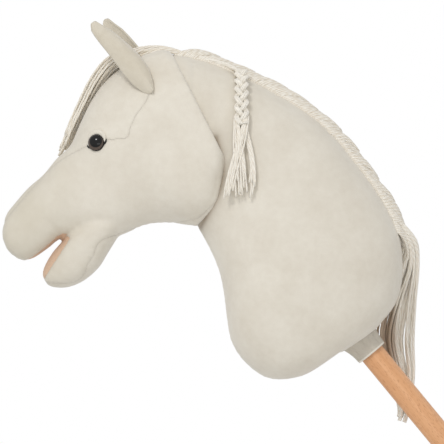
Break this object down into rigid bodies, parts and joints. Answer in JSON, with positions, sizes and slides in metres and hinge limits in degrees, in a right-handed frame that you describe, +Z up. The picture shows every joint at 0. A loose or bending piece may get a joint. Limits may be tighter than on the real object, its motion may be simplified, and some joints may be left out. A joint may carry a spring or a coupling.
{
  "type": "hobby horse",
  "caption": "Plush toy horse head and neck with an open mouth, yarn mane, braid and forelock, on a round wooden stick that pulls out of a sewn pocket in the neck.",
  "frame": {"origin": "on the stick's axis, 87 mm below the cuff's hem, where a rider's hands hold it", "axes": "+Z up, the horse faces -X, its left side is at -Y; the stick leans 39.5 degrees from +Z, with its foot towards +X"},
  "size_m": [0.7607, 0.1447, 0.8042],
  "materials": {
    "plush": "short velour pile, light grey-beige",
    "yarn": "soft twisted yarn, cream",
    "mane_tape": "woven cotton tape, cream",
    "fibre_fill": "white polyester fibre fill",
    "mouth_lining": "short tan velour",
    "pocket_cloth": "plain woven lining",
    "felt": "black felt",
    "eye": "polished, black with a grey-brown ring",
    "washer": "plain moulded",
    "beech": "satin varnish"
  },
  "bodies": {
    "stick": {"stick": "beech"},
    "head": {"neck_panel_left": "plush", "neck_panel_right": "plush", "neck_cuff": "plush", "face_panel_left": "plush", "face_panel_right": "plush", "forehead_gusset": "plush", "chin_gusset": "plush", "eyelid_left": "plush", "eyelid_right": "plush", "ear_left": "plush", "ear_right": "plush", "ear_lining_left": "plush", "ear_lining_right": "plush", "mane": "yarn", "mane_tape": "mane_tape", "neck_stuffing_left": "fibre_fill", "neck_stuffing_right": "fibre_fill", "neck_stuffing_crest": "fibre_fill", "neck_stuffing_throat": "fibre_fill", "neck_stuffing_poll": "fibre_fill", "cheek_stuffing": "fibre_fill", "muzzle_stuffing": "fibre_fill", "jaw_stuffing": "fibre_fill", "mouth_lining_upper": "mouth_lining", "mouth_lining_lower": "mouth_lining", "stick_sleeve": "pocket_cloth", "eye_patch_left": "felt", "eye_patch_right": "felt", "eye_left": "eye", "eye_right": "eye", "eye_washer_left": "washer", "eye_washer_right": "washer"},
    "braid": {"braid": "yarn", "braid_tassel": "yarn"},
    "forelock": {"forelock": "yarn"},
    "mane_end": {"mane_end": "yarn"}
  },
  "joints": [
    {"name": "head_pull_off", "type": "slide", "parent": "stick", "child": "head", "axis": [-0.6361, 0, 0.7716], "range_m": [0, 0.3]},
    {"name": "braid_swing", "type": "hinge", "parent": "head", "child": "braid", "pos_m": [-0.191, -0.0135, 0.35818], "axis": [-1, 0, 0], "range_deg": [0, 70]},
    {"name": "forelock_swing", "type": "hinge", "parent": "head", "child": "forelock", "pos_m": [-0.262, 0, 0.383], "axis": [0, 1, 0], "range_deg": [0, 60]},
    {"name": "mane_end_swing", "type": "hinge", "parent": "head", "child": "mane_end", "pos_m": [-0.023, 0.004, 0.194], "axis": [0, -1, 0], "range_deg": [0, 45]}
  ]
}
